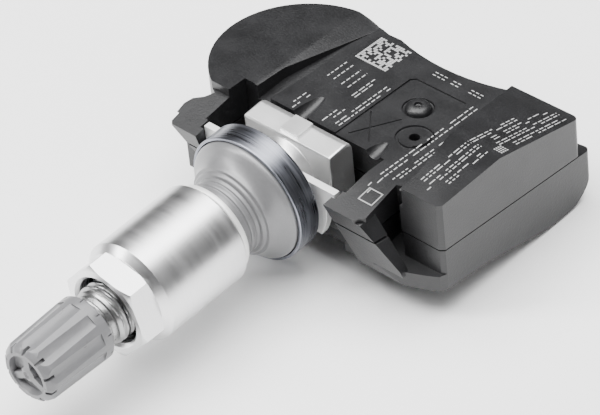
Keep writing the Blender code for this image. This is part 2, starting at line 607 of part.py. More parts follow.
def make_stem():
    """Threaded valve stem in one piece with its transverse cross head."""
    profile = [
        (0.0, -1.0 * MM), (NECK_RADIUS, -1.0 * MM), (NECK_RADIUS, 6.1 * MM), (5.0 * MM, 6.25 * MM),
        (5.0 * MM, 6.55 * MM), (STEM_RADIUS, 6.55 * MM), (STEM_RADIUS, STEM_FRONT - 0.3 * MM),
        (STEM_RADIUS - 0.3 * MM, STEM_FRONT), (3.45 * MM, STEM_FRONT + 0.3 * MM), (3.45 * MM, 38.8 * MM),
        (TIP_RADIUS, 39.1 * MM), (TIP_RADIUS, TIP_FRONT - 0.5 * MM), (TIP_RADIUS - 0.4 * MM, TIP_FRONT),
        (2.75 * MM, TIP_FRONT), (2.75 * MM, 42.0 * MM), (CORE_BORE, 41.0 * MM), (CORE_BORE, CORE_SEAT),
        (0.0, CORE_SEAT - 0.8 * MM)]
    stem = add_part("valve_stem", turned_mesh("valve_stem", profile), SATIN_ALUMINIUM)
    bar = prism_mesh("head_block", head_section(), -HEAD_HALF_LENGTH, HEAD_HALF_LENGTH)
    head = add_cutter("head_block", bar)
    head.data.transform(SIDE_VIEW_TURN)
    bevel(head, 0.7 * MM, segments=2, angle=60)
    flare = add_cutter("neck_flare", turned_mesh("neck_flare", [
        (0.0, 0.0), (4.4 * MM, 0.0), (4.4 * MM, 2.4 * MM), (3.8 * MM, 3.0 * MM),
        (3.42 * MM, 3.8 * MM), (NECK_RADIUS - 0.01 * MM, 4.6 * MM), (0.0, 4.6 * MM)]))
    key = add_cutter("head_key", box_mesh(
        "head_key",
        (-1.4 * MM, -HEAD_HALF_DEPTH + 0.5 * MM, 3.0 * MM),
        (1.6 * MM, 1.3 * MM, HEAD_TOP + 0.45 * MM)))
    air_way = add_cutter("air_way", cylinder_mesh(
        "air_way", AIR_BORE, (0, 8 * MM, 0), (0, -CORE_SEAT - 0.5 * MM, 0)))
    for piece in (head, flare, key):
        boolean(stem, piece, "UNION")
    boolean(stem, air_way)
    return stem


def make_collar():
    """Steel cup round the grommet."""
    rear, front = COLLAR_REAR, COLLAR_FRONT
    profile = [
        (4.25 * MM, rear), (COLLAR_RADIUS - 0.25 * MM, rear), (COLLAR_RADIUS, rear + 0.25 * MM),
        (COLLAR_RADIUS, front - 0.1 * MM), (COLLAR_RADIUS - 0.1 * MM, front),
        (COLLAR_RADIUS - 0.4 * MM, front),
        (COLLAR_RADIUS - 0.4 * MM, rear + 0.9 * MM), (4.25 * MM, rear + 0.9 * MM)]
    return add_part("collar", turned_mesh("collar", profile, RIM_STEPS), BRUSHED_STEEL)


def make_grommet():
    """Rubber seal with the nose that enters the rim hole."""
    bore = STEM_RADIUS + 0.1 * MM
    profile = [
        (bore, 7.7 * MM), (8.7 * MM, 7.7 * MM), (8.7 * MM, GROMMET_EDGE - 0.35 * MM),
        (8.55 * MM, GROMMET_EDGE),
        (8.2 * MM, 11.25 * MM), (7.75 * MM, 11.65 * MM), (7.4 * MM, 11.95 * MM), (7.2 * MM, 12.1 * MM),
        (6.95 * MM, 12.3 * MM), (6.65 * MM, 12.75 * MM), (6.2 * MM, 13.25 * MM), (5.75 * MM, 13.55 * MM),
        (NOSE_RADIUS, GROMMET_SHOULDER), (NOSE_RADIUS, GROMMET_NOSE - 0.2 * MM),
        (NOSE_RADIUS - 0.2 * MM, GROMMET_NOSE), (bore, GROMMET_NOSE)]
    return add_part("grommet", turned_mesh("grommet", profile, RIM_STEPS), GREY_RUBBER)


def make_washer():
    """Slip washer; its raised outer land meets the wheel rim round the grommet's nose."""
    bore = STEM_RADIUS + 0.2 * MM
    rear, front = WASHER_REAR, WASHER_FRONT
    dish_radius = NOSE_RADIUS + 0.2 * MM
    dish_floor = rear + 0.25 * MM
    profile = [
        (bore, dish_floor), (dish_radius, dish_floor), (dish_radius, rear),
        (WASHER_RADIUS - 0.1 * MM, rear), (WASHER_RADIUS, rear + 0.1 * MM),
        (WASHER_RADIUS, front - 0.15 * MM), (WASHER_RADIUS - 0.15 * MM, front), (bore, front)]
    return add_part("slip_washer", turned_mesh("slip_washer", profile), BRIGHT_STEEL)


def make_nut():
    """Sleeve nut: hexagon, cone and long plain sleeve."""
    bore = STEM_RADIUS + RUNNING_GAP
    corner = HEX_ACROSS_FLATS / math.sqrt(3)
    profile = [
        (bore, SLEEVE_REAR), (SLEEVE_RADIUS - 0.3 * MM, SLEEVE_REAR),
        (SLEEVE_RADIUS, SLEEVE_REAR + 0.3 * MM),
        (SLEEVE_RADIUS, SLEEVE_FRONT), (6.3 * MM, HEX_REAR), (corner + 0.4 * MM, HEX_REAR + 0.6 * MM),
        (corner + 0.4 * MM, HEX_FRONT - 0.6 * MM), (6.15 * MM, HEX_FRONT), (5.3 * MM, HEX_FRONT),
        (MOUTH_RADIUS, HEX_FRONT - 0.45 * MM), (MOUTH_RADIUS, 33.4 * MM), (bore, 32.7 * MM)]
    nut = add_part("sleeve_nut", turned_mesh("sleeve_nut", profile, RIM_STEPS), NUT_ALUMINIUM)
    corner_angles = [HEX_TURN + math.radians(60 * i) for i in range(6)]
    hexagon = [(corner * math.cos(angle), corner * math.sin(angle)) for angle in corner_angles]
    keep = add_cutter("hexagon_keep", prism_mesh("hexagon_keep", hexagon, -BIG, BIG))
    shell = add_cutter("hexagon_shell", cylinder_mesh(
        "hexagon_shell", 12 * MM, (0, -HEX_REAR - 0.02 * MM, 0), (0, -HEX_FRONT - 2 * MM, 0)))
    keep.data.transform(Matrix.Rotation(math.pi / 2, 4, "X"))
    boolean(shell, keep)
    boolean(nut, shell)
    return nut


def make_cap():
    """Plastic dust cap with shallow grips."""
    profile = [
        (TIP_RADIUS + RUNNING_GAP, CAP_REAR), (CAP_RADIUS - 0.15 * MM, CAP_REAR),
        (CAP_RADIUS, CAP_REAR + 0.2 * MM),
        (CAP_RADIUS, CAP_REAR + 1.0 * MM), (CAP_TIP_RADIUS + 0.1 * MM, CAP_FRONT - 1.2 * MM),
        (CAP_TIP_RADIUS - 0.2 * MM, CAP_FRONT - 0.5 * MM), (3.5 * MM, CAP_FRONT), (2.9 * MM, CAP_FRONT),
        (2.7 * MM, CAP_FRONT - 0.9 * MM), (0.0, CAP_FRONT - 0.9 * MM), (0.0, 48.4 * MM),
        (TIP_RADIUS + RUNNING_GAP, 48.4 * MM)]
    cap = add_part("valve_cap", turned_mesh("valve_cap", profile), GREY_PLASTIC)
    grips = 10
    for index in range(grips):
        angle = math.tau * (index + 0.5) / grips
        start = (6.75 * MM, -CAP_REAR - 1.6 * MM, 0)
        end = (6.35 * MM, -CAP_FRONT - 0.4 * MM, 0)
        rod = cylinder_mesh("cap_flute", 2.4 * MM, start, end)
        flute = add_cutter("cap_flute_cutter_%d" % index, rod)
        flute.data.transform(Matrix.Rotation(angle, 4, "Y"))
        boolean(cap, flute)
    return cap


def make_cap_seal():
    rear, front = TIP_FRONT + 0.15 * MM, 48.2 * MM
    profile = [(0.0, rear), (3.5 * MM, rear), (3.5 * MM, front), (0.0, front)]
    return add_part("cap_seal", turned_mesh("cap_seal", profile, SMALL_STEPS), BLACK_RUBBER)


def make_core():
    """Spring-loaded valve core inside the stem's mouth."""
    barrel = [
        (1.15 * MM, 34.6 * MM), (1.8 * MM, 34.6 * MM), (1.8 * MM, 42.4 * MM), (2.55 * MM, 42.9 * MM),
        (2.55 * MM, 45.4 * MM), (1.15 * MM, 45.4 * MM), (1.15 * MM, 37.4 * MM), (0.65 * MM, 37.4 * MM),
        (0.65 * MM, 36.4 * MM), (1.15 * MM, 36.4 * MM)]
    add_part("core_barrel", turned_mesh("core_barrel", barrel, SMALL_STEPS), BRASS)
    gasket = [(1.88 * MM, 39.0 * MM), (2.12 * MM, 39.0 * MM), (2.12 * MM, 40.4 * MM), (1.88 * MM, 40.4 * MM)]
    add_part("core_gasket", turned_mesh("core_gasket", gasket, SMALL_STEPS), BLACK_RUBBER)
    pin = [
        (0.0, 33.0 * MM), (0.45 * MM, 33.0 * MM), (0.45 * MM, 43.2 * MM), (1.0 * MM, 43.2 * MM),
        (1.0 * MM, 43.8 * MM), (0.45 * MM, 43.8 * MM), (0.45 * MM, 46.6 * MM), (0.3 * MM, 46.8 * MM),
        (0.0, 46.8 * MM)]
    add_part("core_pin", turned_mesh("core_pin", pin, 20), SPRING_STEEL)
    cup = [(0.55 * MM, 33.0 * MM), (1.7 * MM, 33.0 * MM), (1.7 * MM, 34.3 * MM), (0.55 * MM, 34.3 * MM)]
    add_part("core_cup", turned_mesh("core_cup", cup, SMALL_STEPS), BLACK_RUBBER)
    points = helix(6, 12, 0.8 * MM, -37.75 * MM, -42.85 * MM)
    add_part("core_spring", wire_mesh("core_spring", points, 0.14 * MM, 1), SPRING_STEEL)


def main():
    make_cover()
    make_base()
    make_locking_plate()
    make_board()
    make_components()
    make_cell()
    make_port_gasket()
    make_stem()
    make_collar()
    make_grommet()
    make_washer()
    make_nut()
    make_cap()
    make_cap_seal()
    make_core()


main()
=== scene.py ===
"""Looks of a clamp-in tyre pressure monitor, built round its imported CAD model.

Lengths are in metres. The valve points along -Y, and a station is a distance outwards along it.
"""
import json
import math
import random

import bmesh
import bpy
from mathutils import Matrix, Vector


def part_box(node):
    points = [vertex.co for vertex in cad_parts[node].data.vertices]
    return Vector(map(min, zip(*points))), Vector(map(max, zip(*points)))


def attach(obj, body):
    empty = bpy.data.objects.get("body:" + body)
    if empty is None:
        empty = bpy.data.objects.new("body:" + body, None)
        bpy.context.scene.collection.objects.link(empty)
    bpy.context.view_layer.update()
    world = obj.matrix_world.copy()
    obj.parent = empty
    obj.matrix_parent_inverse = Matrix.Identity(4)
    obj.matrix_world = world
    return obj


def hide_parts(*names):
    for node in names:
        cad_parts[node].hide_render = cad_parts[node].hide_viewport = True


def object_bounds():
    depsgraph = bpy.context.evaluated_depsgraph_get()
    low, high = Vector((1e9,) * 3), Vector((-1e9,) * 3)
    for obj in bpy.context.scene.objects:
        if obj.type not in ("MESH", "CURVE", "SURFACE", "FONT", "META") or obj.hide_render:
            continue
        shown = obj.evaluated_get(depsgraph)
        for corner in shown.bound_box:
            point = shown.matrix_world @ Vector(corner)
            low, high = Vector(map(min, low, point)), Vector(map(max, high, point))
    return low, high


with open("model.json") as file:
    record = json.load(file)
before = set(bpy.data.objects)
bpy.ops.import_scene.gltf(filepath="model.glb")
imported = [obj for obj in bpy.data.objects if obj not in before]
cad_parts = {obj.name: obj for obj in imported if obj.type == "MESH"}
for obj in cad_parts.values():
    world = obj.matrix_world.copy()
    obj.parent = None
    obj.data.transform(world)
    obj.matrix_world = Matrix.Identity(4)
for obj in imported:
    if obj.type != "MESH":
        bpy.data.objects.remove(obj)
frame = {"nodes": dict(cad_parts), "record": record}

CAD_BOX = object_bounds()
MM = 0.001
BODY_OF = {
    node: body for body, nodes in frame["record"]["behaviour"]["bodies"].items() for node in nodes}
SLOT_OF = {row["node"]: row["material_slot"] for row in frame["record"]["subparts"]}

# ---- camera -------------------------------------------------------------------------------
AZIMUTH = math.radians(45.921)
ELEVATION = math.radians(41.696)
ROLL = math.radians(6.166)
DISTANCE = 598.4 * MM
LENS = 277.75                    # millimetres, on a 36 mm sensor
AIM_RIGHT = -4.227 * MM          # from the frame's origin to the optical axis
AIM_UP = -9.922 * MM
AIM_Y = 6.25 * MM


def make_camera():
    back = Vector((
        math.sin(AZIMUTH) * math.cos(ELEVATION), -math.cos(AZIMUTH) * math.cos(ELEVATION),
        math.sin(ELEVATION)))
    level = Vector((math.cos(AZIMUTH), math.sin(AZIMUTH), 0.0))
    upright = back.cross(level)
    right = level * math.cos(ROLL) - upright * math.sin(ROLL)
    up = level * math.sin(ROLL) + upright * math.cos(ROLL)
    data = bpy.data.cameras.new("camera")
    data.lens = LENS
    data.sensor_width = 36.0
    data.clip_start = 0.01
    data.clip_end = 20.0
    camera = bpy.data.objects.new("camera", data)
    bpy.context.collection.objects.link(camera)
    turn = Matrix((right, up, back)).transposed().to_4x4()
    place = back * DISTANCE + right * AIM_RIGHT + up * AIM_UP + Vector((0, AIM_Y, 0))
    camera.matrix_world = Matrix.Translation(place) @ turn
    bpy.context.scene.camera = camera
    return right, back


# ---- materials ----------------------------------------------------------------------------
def noise(tree, vector, scale, detail):
    node = tree.nodes.new("ShaderNodeTexNoise")
    node.inputs["Scale"].default_value = scale
    node.inputs["Detail"].default_value = detail
    tree.links.new(vector, node.inputs["Vector"])
    return node.outputs["Fac"]


def remap(tree, value, low, high):
    node = tree.nodes.new("ShaderNodeMapRange")
    node.inputs["From Min"].default_value = 0.3
    node.inputs["From Max"].default_value = 0.7
    node.inputs["To Min"].default_value = low
    node.inputs["To Max"].default_value = high
    tree.links.new(value, node.inputs["Value"])
    return node.outputs["Result"]


def finish_material(
        name, colour, roughness, metallic=0.0, spread=0.12, grain=2500.0, relief=0.012,
        stretch=(1, 1, 1), broad=250.0, rough_spread=0.15):
    """A principled surface with mottled colour, uneven roughness and a fine relief, all from noise.

    grain and broad are noise scales per metre; relief is the height of the bump in millimetres.
    stretch below one along two axes draws the noise out into turning or brushing lines.
    """
    result = bpy.data.materials.new(name)
    result.use_nodes = True
    tree = result.node_tree
    shader = tree.nodes["Principled BSDF"]
    shader.inputs["Metallic"].default_value = metallic
    place = tree.nodes.new("ShaderNodeTexCoord").outputs["Object"]
    mapping = tree.nodes.new("ShaderNodeMapping")
    mapping.inputs["Scale"].default_value = stretch
    tree.links.new(place, mapping.inputs["Vector"])
    fine = noise(tree, mapping.outputs["Vector"], grain, 3.0)
    wide = noise(tree, mapping.outputs["Vector"], broad, 3.0)
    both = tree.nodes.new("ShaderNodeMix")
    both.data_type = "FLOAT"
    both.inputs["Factor"].default_value = 0.55
    tree.links.new(fine, both.inputs["A"])
    tree.links.new(wide, both.inputs["B"])
    tint = tree.nodes.new("ShaderNodeMix")
    tint.data_type = "RGBA"
    tint.inputs["A"].default_value = (*[channel * (1 - spread) for channel in colour], 1.0)
    tint.inputs["B"].default_value = (*[min(channel * (1 + spread), 1.0) for channel in colour], 1.0)
    tree.links.new(remap(tree, both.outputs["Result"], 0.0, 1.0), tint.inputs["Factor"])
    tree.links.new(tint.outputs["Result"], shader.inputs["Base Color"])
    rough = remap(
        tree, both.outputs["Result"], roughness * (1 - rough_spread), roughness * (1 + rough_spread))
    tree.links.new(rough, shader.inputs["Roughness"])
    if relief:
        bump = tree.nodes.new("ShaderNodeBump")
        bump.inputs["Distance"].default_value = relief * MM
        tree.links.new(fine, bump.inputs["Height"])
        tree.links.new(bump.outputs["Normal"], shader.inputs["Normal"])
    return result


FINISH = {
    "black_nylon": finish_material(
        "black_nylon", (0.0075, 0.0075, 0.0083), 0.4, spread=0.4, grain=3600.0, relief=0.028),
    "satin_aluminium": finish_material(
        "satin_aluminium", (0.80, 0.80, 0.80), 0.38, metallic=0.9, spread=0.03, grain=5000.0,
        relief=0.0),
    "nut_aluminium": finish_material(
        "nut_aluminium", (0.78, 0.78, 0.785), 0.32, metallic=1.0, spread=0.04, grain=2600.0,
        relief=0.0, stretch=(0.06, 1.0, 0.06), broad=700.0),
    "brushed_steel": finish_material(
        "brushed_steel", (0.22, 0.228, 0.26), 0.31, metallic=1.0, spread=0.45, grain=4200.0,
        relief=0.0, stretch=(0.06, 1.0, 0.06), broad=2000.0, rough_spread=0.3),
    "bright_steel": finish_material(
        "bright_steel", (0.88, 0.88, 0.87), 0.42, metallic=0.5, spread=0.02, grain=1500.0,
        relief=0.0, rough_spread=0.05),
    "grey_rubber": finish_material(
        "grey_rubber", (0.2, 0.2, 0.205), 0.36, metallic=0.35, spread=0.06, grain=2600.0,
        relief=0.008),
    "grey_plastic": finish_material(
        "grey_plastic", (0.15, 0.15, 0.155), 0.3, spread=0.12, grain=1800.0, relief=0.010,
        stretch=(1.0, 0.4, 1.0)),
    # Dark steel for the ridges inside the nut's mouth: its darkness is painted shade for the deep mouth.
    "mouth_shade_steel": finish_material(
        "mouth_shade_steel", (0.16, 0.16, 0.165), 0.4, metallic=1.0, spread=0.2, grain=4000.0, relief=0.0),
    "stem_steel": finish_material(
        "stem_steel", (0.36, 0.36, 0.36), 0.3, metallic=1.0, spread=0.08, grain=4000.0, relief=0.0),
    "laser_grey": finish_material(
        "laser_grey", (0.34, 0.34, 0.34), 0.6, spread=0.25, grain=9000.0, relief=0.01),
    "black_rubber": finish_material("black_rubber", (0.02, 0.02, 0.02), 0.7, grain=2000.0),
    "board_green": finish_material(
        "board_green", (0.02, 0.12, 0.05), 0.4, spread=0.3, grain=900.0, stretch=(1.0, 0.2, 1.0)),
    "cell_steel": finish_material(
        "cell_steel", (0.7, 0.7, 0.7), 0.3, metallic=1.0, spread=0.04, stretch=(0.1, 1.0, 1.0)),
    "chip_black": finish_material("chip_black", (0.03, 0.03, 0.03), 0.5, grain=6000.0),
    "ceramic": finish_material("ceramic", (0.42, 0.3, 0.18), 0.5, grain=6000.0),
    "ferrite": finish_material("ferrite", (0.06, 0.06, 0.06), 0.6, grain=8000.0, relief=0.02),
    "copper": finish_material("copper", (0.6, 0.26, 0.12), 0.35, metallic=1.0),
    "brass": finish_material("brass", (0.6, 0.45, 0.18), 0.3, metallic=1.0),
    "spring_steel": finish_material("spring_steel", (0.55, 0.55, 0.55), 0.3, metallic=1.0),
}


# ---- mesh helpers -------------------------------------------------------------------------
def new_object(name, mesh):
    obj = bpy.data.objects.new(name, mesh)
    bpy.context.collection.objects.link(obj)
    return obj


def box_mesh(name, low, high):
    low, high = Vector(low), Vector(high)
    mesh = bpy.data.meshes.new(name)
    builder = bmesh.new()
    bmesh.ops.create_cube(builder, size=1.0)
    builder.transform(
        Matrix.Translation((low + high) / 2) @ Matrix.Diagonal((*(high - low), 1.0)))
    builder.to_mesh(mesh)
    builder.free()
    return mesh


def turned_mesh(name, profile, steps=96):
    """Turn a closed (radius, height) profile about +Z."""
    mesh = bpy.data.meshes.new(name)
    builder = bmesh.new()
    corners = [builder.verts.new((radius, 0.0, height)) for radius, height in profile]
    for index, corner in enumerate(corners):
        following = (index + 1) % len(corners)
        if profile[index][0] == 0.0 and profile[following][0] == 0.0:
            continue
        builder.edges.new((corner, corners[following]))
    bmesh.ops.spin(
        builder, geom=list(builder.verts) + list(builder.edges), cent=(0, 0, 0), axis=(0, 0, 1),
        angle=math.tau, steps=steps, use_merge=True)
    bmesh.ops.remove_doubles(builder, verts=builder.verts, dist=0.0005 * MM)
    bmesh.ops.recalc_face_normals(builder, faces=builder.faces)
    builder.to_mesh(mesh)
    builder.free()
    return mesh


def extruded_mesh(name, outline, low, high):
    """A counter-clockwise (x, y) outline, solid between two heights."""
    mesh = bpy.data.meshes.new(name)
    builder = bmesh.new()
    bottom = [builder.verts.new((x, y, low)) for x, y in outline]
    top = [builder.verts.new((x, y, high)) for x, y in outline]
    builder.faces.new(bottom[::-1])
    builder.faces.new(top)
    for index in range(len(outline)):
        following = (index + 1) % len(outline)
        builder.faces.new((bottom[index], bottom[following], top[following], top[index]))
    builder.to_mesh(mesh)
    builder.free()
    return mesh


def skin(builder, rings):
    """Faces between neighbouring rings of corners."""
    for near, far in zip(rings, rings[1:]):
        for side, corner in enumerate(near):
            following = (side + 1) % len(near)
            builder.faces.new((corner, near[following], far[following], far[side]))


def bake(obj, sharp_angle=28):
    """Apply the modifiers, then shade smooth with crisp edges."""
    bpy.context.view_layer.update()
    evaluated = obj.evaluated_get(bpy.context.evaluated_depsgraph_get())
    mesh = bpy.data.meshes.new_from_object(evaluated)
    obj.modifiers.clear()
    obj.data = mesh
    mesh.shade_smooth()
    mesh.set_sharp_from_angle(angle=math.radians(sharp_angle))
    weighted = obj.modifiers.new("even_normals", "WEIGHTED_NORMAL")
    weighted.keep_sharp = True
    weighted.weight = 100
    return obj


def cut(obj, cutter, operation="DIFFERENCE"):
    modifier = obj.modifiers.new(cutter.name, "BOOLEAN")
    modifier.object = cutter
    modifier.operation = operation
    modifier.solver = "EXACT"


def discard(cutters):
    for cutter in cutters:
        bpy.data.objects.remove(cutter, do_unlink=True)


def dress(obj, node, slot=None, finish=None):
    """Material and body of a piece that goes with a CAD node; the material follows the node's slot or a
    named finish.
    """
    slot = slot or SLOT_OF[node]
    obj.data.materials.clear()
    obj.data.materials.append(FINISH[finish or slot])
    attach(obj, BODY_OF[node])
    return obj


def refined_copy(
        node, name, round_over=0.08, cutters=(), unions=(), steps=2, edge_angle=35):
    """A welded copy of a CAD node with detail cut in and its edges rounded; it replaces the node."""
    mesh = frame["nodes"][node].data.copy()
    mesh.name = name
    builder = bmesh.new()
    builder.from_mesh(mesh)
    bmesh.ops.remove_doubles(builder, verts=builder.verts, dist=0.0005 * MM)
    bmesh.ops.dissolve_limit(
        builder, angle_limit=math.radians(0.6), verts=builder.verts, edges=builder.edges)
    builder.to_mesh(mesh)
    builder.free()
    obj = new_object(name, mesh)
    for union in unions:
        cut(obj, union, "UNION")
    for cutter in cutters:
        cut(obj, cutter)
    if round_over:
        bevel = obj.modifiers.new("rounded_edges", "BEVEL")
        bevel.width = round_over * MM
        bevel.segments = steps
        bevel.limit_method = "ANGLE"
        bevel.angle_limit = math.radians(edge_angle)
        bevel.use_clamp_overlap = True
        bevel.miter_outer = "MITER_ARC"
    bake(obj)
    discard(list(cutters) + list(unions))
    dress(obj, node)
    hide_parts(node)
    return obj


# ---- housing ------------------------------------------------------------------------------
DECK_Z = 3.9 * MM
DECK_SLOPE = math.tan(math.radians(-4.0))
EAR_SLOPE = math.tan(math.radians(6.0))
BLOCK_Z = 7.2 * MM
BLOCK_BEND_Y = 9.0 * MM
BLOCK_SLOPE = math.tan(math.radians(-15.0))
PANEL_DEPTH = 0.22 * MM
BOSS = (8.2 * MM, 14.0 * MM)
PORT = (11.8 * MM, 9.1 * MM)


def deck_height(y):
    return DECK_Z + y * (DECK_SLOPE if y > 0 else EAR_SLOPE)


def block_height(y):
    return BLOCK_Z + max(y - BLOCK_BEND_Y, 0.0) * BLOCK_SLOPE


def on_deck(mesh, x, y):
    """Move a mesh made round the origin onto the sloping deck."""
    lean = Matrix.Rotation(math.atan(DECK_SLOPE), 4, "X")
    mesh.transform(Matrix.Translation((x, y, deck_height(y))) @ lean)
    return mesh


def leaf_pocket(name, x, tip_y):
    """A tapering hollow that runs from the cradle into the deck."""
    mesh = bpy.data.meshes.new(name)
    builder = bmesh.new()
    bmesh.ops.create_uvsphere(builder, u_segments=40, v_segments=24, radius=1.0)
    builder.to_mesh(mesh)
    builder.free()
    rear = 2.9 * MM
    length = tip_y - rear
    mesh.transform(
        Matrix.Translation((x, rear, deck_height(rear) + 0.25 * MM))
        @ Matrix.Diagonal((1.25 * MM, length, 1.45 * MM, 1.0)))
    return new_object(name, mesh)


def deck_cutters():
    """The hollows in the deck: panel recess, leaf pockets, port ring, cross and boss ring."""
    panel = [
        (3.5, 3.0), (12.6, 3.0), (13.0, 8.0), (12.9, 18.0), (12.4, 18.5), (4.1, 18.4), (3.5, 17.8)]
    recess = extruded_mesh("panel_recess", [(x * MM, y * MM) for x, y in panel], 0.0, 3.0 * MM)
    shear = Matrix.Identity(4)   # keeps the panel's floor parallel to the sloping deck
    shear[2][1] = DECK_SLOPE
    recess.transform(Matrix.Translation((0, 0, DECK_Z - PANEL_DEPTH)) @ shear)
    ring = turned_mesh("port_ring", [
        (2.15 * MM, -0.5 * MM), (2.5 * MM, -0.5 * MM), (2.65 * MM, 0.3 * MM), (2.0 * MM, 0.3 * MM)])
    port = turned_mesh("port_mouth", [
        (0.0, -1.0 * MM), (0.62 * MM, -1.0 * MM), (0.7 * MM, -0.4 * MM), (0.95 * MM, 0.5 * MM),
        (0.0, 0.5 * MM)], 48)
    moat = turned_mesh("boss_moat", [
        (1.75 * MM, -0.55 * MM), (2.1 * MM, -0.5 * MM), (2.35 * MM, 0.4 * MM), (1.75 * MM, 0.4 * MM)])
    cutters = [
        new_object("panel_recess", recess),
        leaf_pocket("leaf_left", -2.5 * MM, 8.3 * MM),
        leaf_pocket("leaf_right", 9.9 * MM, 6.4 * MM),
        new_object("port_ring", on_deck(ring, *PORT)),
        new_object("port_mouth", on_deck(port, *PORT)),
        new_object("boss_moat", on_deck(moat, *BOSS))]
    for name, start, end in (
            ("cross_a", (4.7, 4.4), (8.1, 10.9)), ("cross_b", (3.9, 9.7), (7.9, 4.7))):
        along = Vector((end[0] - start[0], end[1] - start[1])) * MM
        half = along.length / 2
        groove = box_mesh(name, (-half, -0.09 * MM, -0.42 * MM), (half, 0.09 * MM, 0.5 * MM))
        groove.transform(Matrix.Rotation(math.atan2(along.y, along.x), 4, "Z"))
        middle_x = (start[0] + end[0]) / 2 * MM
        middle_y = (start[1] + end[1]) / 2 * MM
        cutters.append(new_object(name, on_deck(groove, middle_x, middle_y)))
    return cutters


def make_housing():
    refined_copy("housing_cover", "upper_shell", 0.14, deck_cutters())
    refined_copy("base_cover", "lower_shell", 0.16)
    refined_copy("locking_plate", "fork_plate", 0.05, edge_angle=50)


def make_boss():
    """Domed moulding boss in the middle of its moat, with a rough gate mark on top."""
    profile = [
        (0.0, -0.75 * MM), (1.82 * MM, -0.75 * MM), (1.76 * MM, -0.2 * MM), (1.6 * MM, 0.14 * MM),
        (1.2 * MM, 0.36 * MM), (0.75 * MM, 0.44 * MM), (0.52 * MM, 0.42 * MM), (0.42 * MM, 0.1 * MM),
        (0.24 * MM, 0.05 * MM), (0.12 * MM, 0.22 * MM), (0.0, 0.25 * MM)]
    boss = new_object("deck_boss", on_deck(turned_mesh("deck_boss", profile), *BOSS))
    dress(bake(boss, 40), "housing_cover")


# ---- marks on the deck --------------------------------------------------------------------
def bar(builder, x, y, width, length, height_at, thickness):
    """A flat pad that follows the surface; x and y are its middle."""
    corners = []
    for step_x, step_y in ((-1, -1), (1, -1), (1, 1), (-1, 1)):
        corner_x = x + step_x * width / 2
        corner_y = y + step_y * length / 2
        corners.append((corner_x, corner_y, height_at(corner_y)))
    low = [builder.verts.new((cx, cy, cz - thickness)) for cx, cy, cz in corners]
    high = [builder.verts.new((cx, cy, cz + thickness)) for cx, cy, cz in corners]
    builder.faces.new(low[::-1])
    builder.faces.new(high)
    for index in range(4):
        following = (index + 1) % 4
        builder.faces.new((low[index], low[following], high[following], high[index]))


def dash_row(builder, rng, x, start_y, end_y, size, height_at, thickness):
    """A row of plain dashes of uneven length along Y, two strokes deep."""
    y = start_y
    while y < end_y:
        length = rng.choice((0.45, 0.7, 0.7, 1.1)) * MM
        length = min(length, end_y - y)
        for offset in (-0.5, 0.5):
            if rng.random() < 0.86:
                bar(builder, x + offset * size, y + length / 2, 0.16 * MM, length, height_at, thickness)
        y += length + 0.3 * MM


def make_marks():
    """Generic laser marks: rows of dashes and a block of random dots, with nothing to read."""
    rng = random.Random(7)
    mesh = bpy.data.meshes.new("laser_marks")
    builder = bmesh.new()
    film = 0.015 * MM

    deck_rows = (
        (-4.6, 3.6, 7.2, 0.7, deck_height), (-4.7, 11.5, 15.3, 1.1, deck_height),
        (-2.1, 11.3, 15.1, 1.1, deck_height), (0.3, 10.3, 14.9, 0.5, deck_height),
        (0.9, 4.0, 7.7, 0.7, deck_height), (2.6, 4.6, 14.6, 0.6, deck_height),
        (14.0, -3.0, 18.6, 0.7, deck_height), (15.8, 0.6, 13.4, 0.55, deck_height))
    for x, start, end, size, height_at in deck_rows:
        dash_row(builder, rng, x * MM, start * MM, end * MM, size * MM, height_at, film)
    for x, start, end in (
            (21.3, 0.0, 18.0), (22.7, -1.0, 9.5), (22.6, 12.0, 22.4), (23.9, 11.5, 23.2),
            (24.1, 1.5, 9.0), (25.2, 13.2, 23.0)):
        dash_row(builder, rng, x * MM, start * MM, end * MM, 0.5 * MM, block_height, film)
    for index in range(11):
        x = (5.4 + index * 0.76) * MM
        if rng.random() < 0.85:
            bar(builder, x, 20.4 * MM, 0.5 * MM, 0.16 * MM, deck_height, film)
            bar(builder, x, 21.0 * MM, 0.5 * MM, 0.16 * MM, deck_height, film)
    cells, pitch = 14, 0.38 * MM
    for row in range(cells):
        for column in range(cells):
            framed = row == 0 or column == 0
            if framed or rng.random() < 0.52:
                x = -5.3 * MM + (row + 0.5) * pitch
                y = 16.9 * MM + (column + 0.5) * pitch
                bar(builder, x, y, pitch * 0.86, pitch * 0.86, deck_height, film)
    for row in range(4):
        for column in range(4):
            x = 24.5 * MM + row * pitch
            y = 10.2 * MM + column * pitch
            bar(builder, x, y, pitch * 0.6, pitch * 0.6, block_height, film)
    for x, y, width, length in (
            (15.2, -4.4, 2.3, 0.14), (15.2, -2.2, 2.3, 0.14), (14.1, -3.3, 0.14, 2.3),
            (16.3, -3.3, 0.14, 2.3)):
        bar(builder, x * MM, y * MM, width * MM, length * MM, deck_height, 0.06 * MM)
    builder.to_mesh(mesh)
    builder.free()
    dress(new_object("laser_marks", mesh), "housing_cover", "grey_plastic", "laser_grey")


# ---- valve --------------------------------------------------------------------------------
def axial(node):
    """(rear station, front station, radius) of a turned CAD node."""
    low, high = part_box(node)
    return -high.y, -low.y, (high.x - low.x) / 2


THREAD_PITCH = 1.0 * MM
TIP_PITCH = 25.4 / 32 * MM
STEM_RADIUS = 4.1 * MM
TIP_RADIUS = 3.85 * MM
NECK_RADIUS = 3.45 * MM
THREAD_END = 37.9 * MM           # where the main thread runs out into the neck
TIP_START = 38.75 * MM           # where the tip thread rises from the neck
TIP_THREAD_END = 47.0 * MM
STEM_JOIN = 17.9 * MM            # the CAD cross head behind it, the ridged thread beyond it


def ridge_share(turns):
    """A rounded thread's height, from 0 in the root to 1 on the crest."""
    phase = turns % 1.0
    wave = 0.5 - 0.5 * math.cos(math.tau * phase)
    return min(1.0, wave * 1.35)


